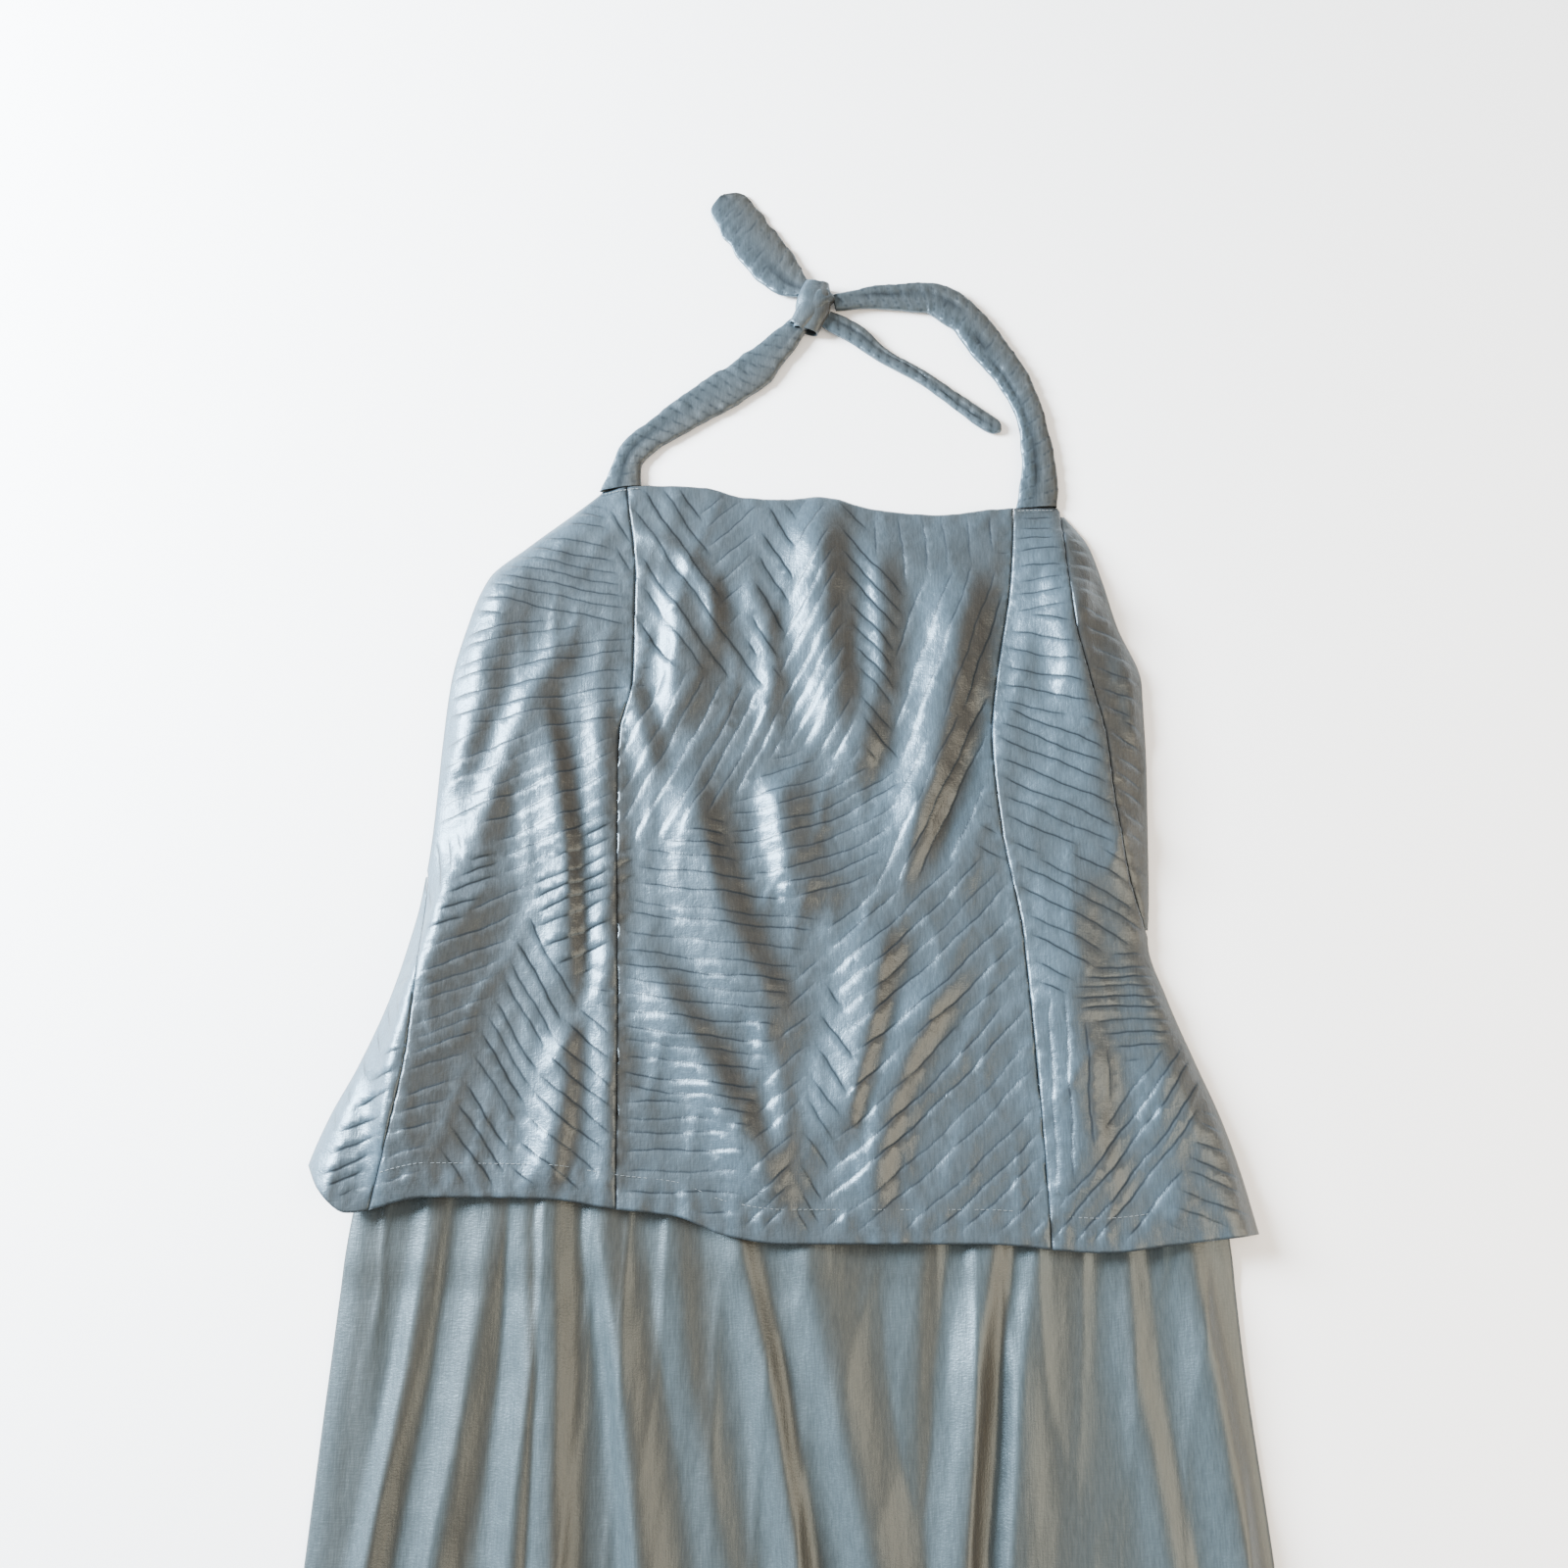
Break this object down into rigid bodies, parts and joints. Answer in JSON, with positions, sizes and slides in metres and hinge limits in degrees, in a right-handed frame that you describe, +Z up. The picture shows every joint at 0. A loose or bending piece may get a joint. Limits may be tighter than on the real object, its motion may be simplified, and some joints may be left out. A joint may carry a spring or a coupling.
{
  "type": "halter dress",
  "caption": "Halter dress with a tucked, flared bodice and a plain folded skirt, laid flat face up with its neck straps tied.",
  "frame": {"origin": "middle of the ground the laid dress covers, on the surface it lies on", "axes": "+Z up out of the surface, +Y along the dress from the skirt hem to the neck tie, +X to the right of someone who looks down at the front with the neck away from them"},
  "size_m": [0.6, 1.2738, 0.0259],
  "materials": {
    "tucked_silk": "shot silk with pressed tucks, satin sheen",
    "plain_silk": "shot silk, satin sheen",
    "tie_silk": "shot silk, creased"
  },
  "bodies": {
    "root": {"centre_front": "tucked_silk", "side_front_left": "tucked_silk", "side_front_right": "tucked_silk", "side_back_left": "tucked_silk", "side_back_right": "tucked_silk", "skirt_front": "plain_silk", "skirt_back": "plain_silk", "bodice_back": "plain_silk", "strap_left": "tie_silk", "strap_right": "tie_silk", "tie_end_left": "tie_silk", "tie_end_right": "tie_silk", "knot": "tie_silk"}
  },
  "joints": []
}
